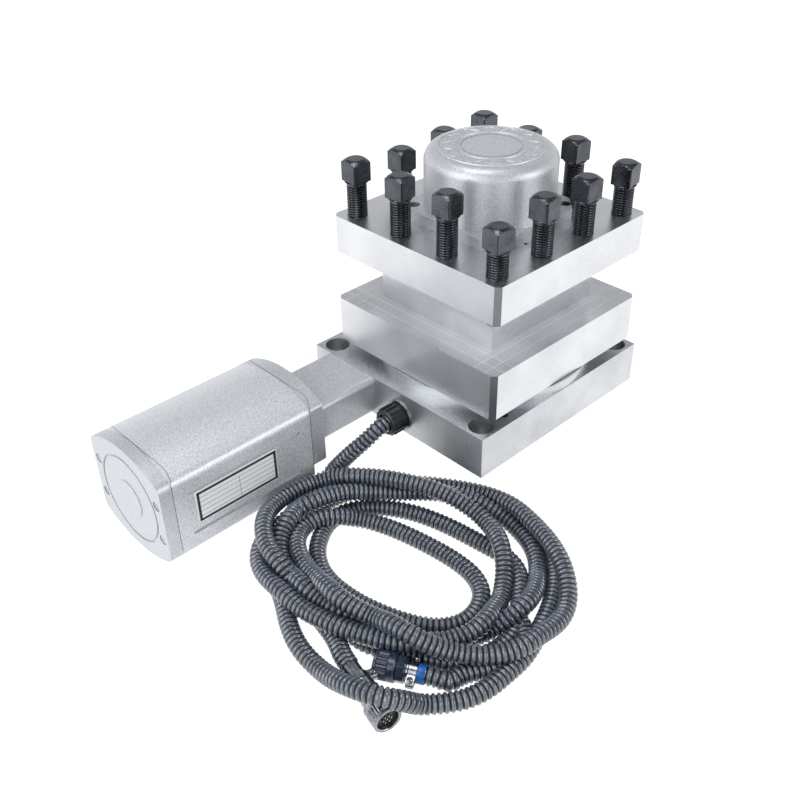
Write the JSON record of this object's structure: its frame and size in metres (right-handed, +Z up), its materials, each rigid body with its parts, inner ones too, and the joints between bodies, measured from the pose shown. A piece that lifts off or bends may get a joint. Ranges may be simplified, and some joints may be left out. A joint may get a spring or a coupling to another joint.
{
  "type": "lathe tool turret",
  "caption": "Indexing lathe tool turret: square head with clamp screws and top cover on a bolted base, geared motor at its side, and a ribbed conduit with round plugs.",
  "frame": {"origin": "centre of the four base bolt holes, on the underside of the base plate", "axes": "+Z up along the bolts and the spindle, -X towards the motor, -Y towards the side with the conduit's coil"},
  "size_m": [0.3982, 0.3376, 0.2553],
  "materials": {
    "ground_steel": "finely ground, satin",
    "black_oxide": "black oxide, semi-gloss",
    "cast_silver": "silver paint over a sanded casting",
    "bronze": "machined bronze",
    "machined_steel": "machined, oiled",
    "bearing_steel": "ground and bright",
    "core_steel": "stacked sheets, varnished",
    "winding": "varnished copper",
    "bare_plate": "bare, satin",
    "conduit": "ribbed, semi-gloss blue-grey",
    "gland_black": "black, satin",
    "sensor_board": "matt",
    "magnet": "plated",
    "plug_silver": "satin plated",
    "plug_navy": "dark blue anodised",
    "plug_black": "black"
  },
  "bodies": {
    "base": {"base_plate": "ground_steel", "spindle": "machined_steel", "lower_toothed_ring": "machined_steel", "thrust_washer": "bronze", "worm_bearing_1": "bearing_steel", "worm_bearing_2": "bearing_steel", "worm_end_plug": "machined_steel", "index_stop_disc": "machined_steel", "spindle_nut": "black_oxide", "sensor_disc": "sensor_board", "sensor_nut": "machined_steel", "motor_bracket": "cast_silver", "motor_flange": "cast_silver", "motor_casing": "cast_silver", "motor_rear_cover": "cast_silver", "rear_cover_screws": "black_oxide", "nameplate": "bare_plate", "stator_core": "core_steel", "stator_winding_front": "winding", "stator_winding_rear": "winding", "motor_bearing_1": "bearing_steel", "motor_bearing_2": "bearing_steel", "gland_washer": "machined_steel", "gland_body": "gland_black", "gland_nut": "gland_black", "conduit_lead": "conduit", "conduit_coil": "conduit", "front_plug_shell": "plug_silver", "front_plug_insert": "plug_black", "front_plug_clamp": "plug_silver", "rear_plug_shell": "plug_navy", "rear_plug_insert": "plug_black", "rear_plug_clamp": "plug_silver"},
    "rotor": {"rotor": "machined_steel", "motor_pinion": "machined_steel"},
    "worm": {"worm_shaft": "machined_steel", "driven_gear": "machined_steel"},
    "wheel": {"worm_wheel": "bronze", "lift_screw": "machined_steel"},
    "index": {"index_sleeve": "machined_steel", "drive_pins": "machined_steel"},
    "head": {"turret_head": "ground_steel", "upper_toothed_ring": "machined_steel", "lift_nut": "bronze", "top_cover": "cast_silver", "cover_screws": "black_oxide", "position_magnet": "magnet"},
    "clamp_1": {"clamp_screw_1": "black_oxide"},
    "clamp_2": {"clamp_screw_2": "black_oxide"},
    "clamp_3": {"clamp_screw_3": "black_oxide"},
    "clamp_4": {"clamp_screw_4": "black_oxide"},
    "clamp_5": {"clamp_screw_5": "black_oxide"},
    "clamp_6": {"clamp_screw_6": "black_oxide"},
    "clamp_7": {"clamp_screw_7": "black_oxide"},
    "clamp_8": {"clamp_screw_8": "black_oxide"},
    "clamp_9": {"clamp_screw_9": "black_oxide"},
    "clamp_10": {"clamp_screw_10": "black_oxide"},
    "clamp_11": {"clamp_screw_11": "black_oxide"},
    "clamp_12": {"clamp_screw_12": "black_oxide"}
  },
  "joints": [
    {"name": "rotor_spin", "type": "hinge", "parent": "base", "child": "rotor", "pos_m": [-0.23, 0.06891, 0.00422], "axis": [1, 0, 0], "continuous": true},
    {"name": "worm_spin", "type": "hinge", "parent": "base", "child": "worm", "pos_m": [-0.06, 0.05, 0.019], "axis": [1, 0, 0], "continuous": true},
    {"name": "wheel_spin", "type": "hinge", "parent": "base", "child": "wheel", "pos_m": [0.005, -0.006, 0.019], "axis": [0, 0, 1], "continuous": true},
    {"name": "head_index", "type": "hinge", "parent": "base", "child": "index", "pos_m": [0.005, -0.006, 0.1], "axis": [0, 0, 1], "continuous": true},
    {"name": "head_lift", "type": "slide", "parent": "index", "child": "head", "axis": [0, 0, 1], "range_m": [0, 0.006]},
    {"name": "clamp_1_feed", "type": "slide", "parent": "head", "child": "clamp_1", "axis": [0, 0, 1], "range_m": [-0.0269, 0.016]},
    {"name": "clamp_2_feed", "type": "slide", "parent": "head", "child": "clamp_2", "axis": [0, 0, 1], "range_m": [-0.0279, 0.016]},
    {"name": "clamp_3_feed", "type": "slide", "parent": "head", "child": "clamp_3", "axis": [0, 0, 1], "range_m": [-0.0294, 0.016]},
    {"name": "clamp_4_feed", "type": "slide", "parent": "head", "child": "clamp_4", "axis": [0, 0, 1], "range_m": [-0.0194, 0.016]},
    {"name": "clamp_5_feed", "type": "slide", "parent": "head", "child": "clamp_5", "axis": [0, 0, 1], "range_m": [-0.0264, 0.016]},
    {"name": "clamp_6_feed", "type": "slide", "parent": "head", "child": "clamp_6", "axis": [0, 0, 1], "range_m": [-0.0259, 0.016]},
    {"name": "clamp_7_feed", "type": "slide", "parent": "head", "child": "clamp_7", "axis": [0, 0, 1], "range_m": [-0.0229, 0.016]},
    {"name": "clamp_8_feed", "type": "slide", "parent": "head", "child": "clamp_8", "axis": [0, 0, 1], "range_m": [-0.0289, 0.016]},
    {"name": "clamp_9_feed", "type": "slide", "parent": "head", "child": "clamp_9", "axis": [0, 0, 1], "range_m": [-0.0249, 0.016]},
    {"name": "clamp_10_feed", "type": "slide", "parent": "head", "child": "clamp_10", "axis": [0, 0, 1], "range_m": [-0.0259, 0.016]},
    {"name": "clamp_11_feed", "type": "slide", "parent": "head", "child": "clamp_11", "axis": [0, 0, 1], "range_m": [-0.0249, 0.016]},
    {"name": "clamp_12_feed", "type": "slide", "parent": "head", "child": "clamp_12", "axis": [0, 0, 1], "range_m": [-0.0219, 0.016]}
  ],
  "couplings": [
    {"joint": "worm_spin", "follows": "rotor_spin", "ratio": -0.6},
    {"joint": "wheel_spin", "follows": "rotor_spin", "ratio": -0.016667}
  ]
}
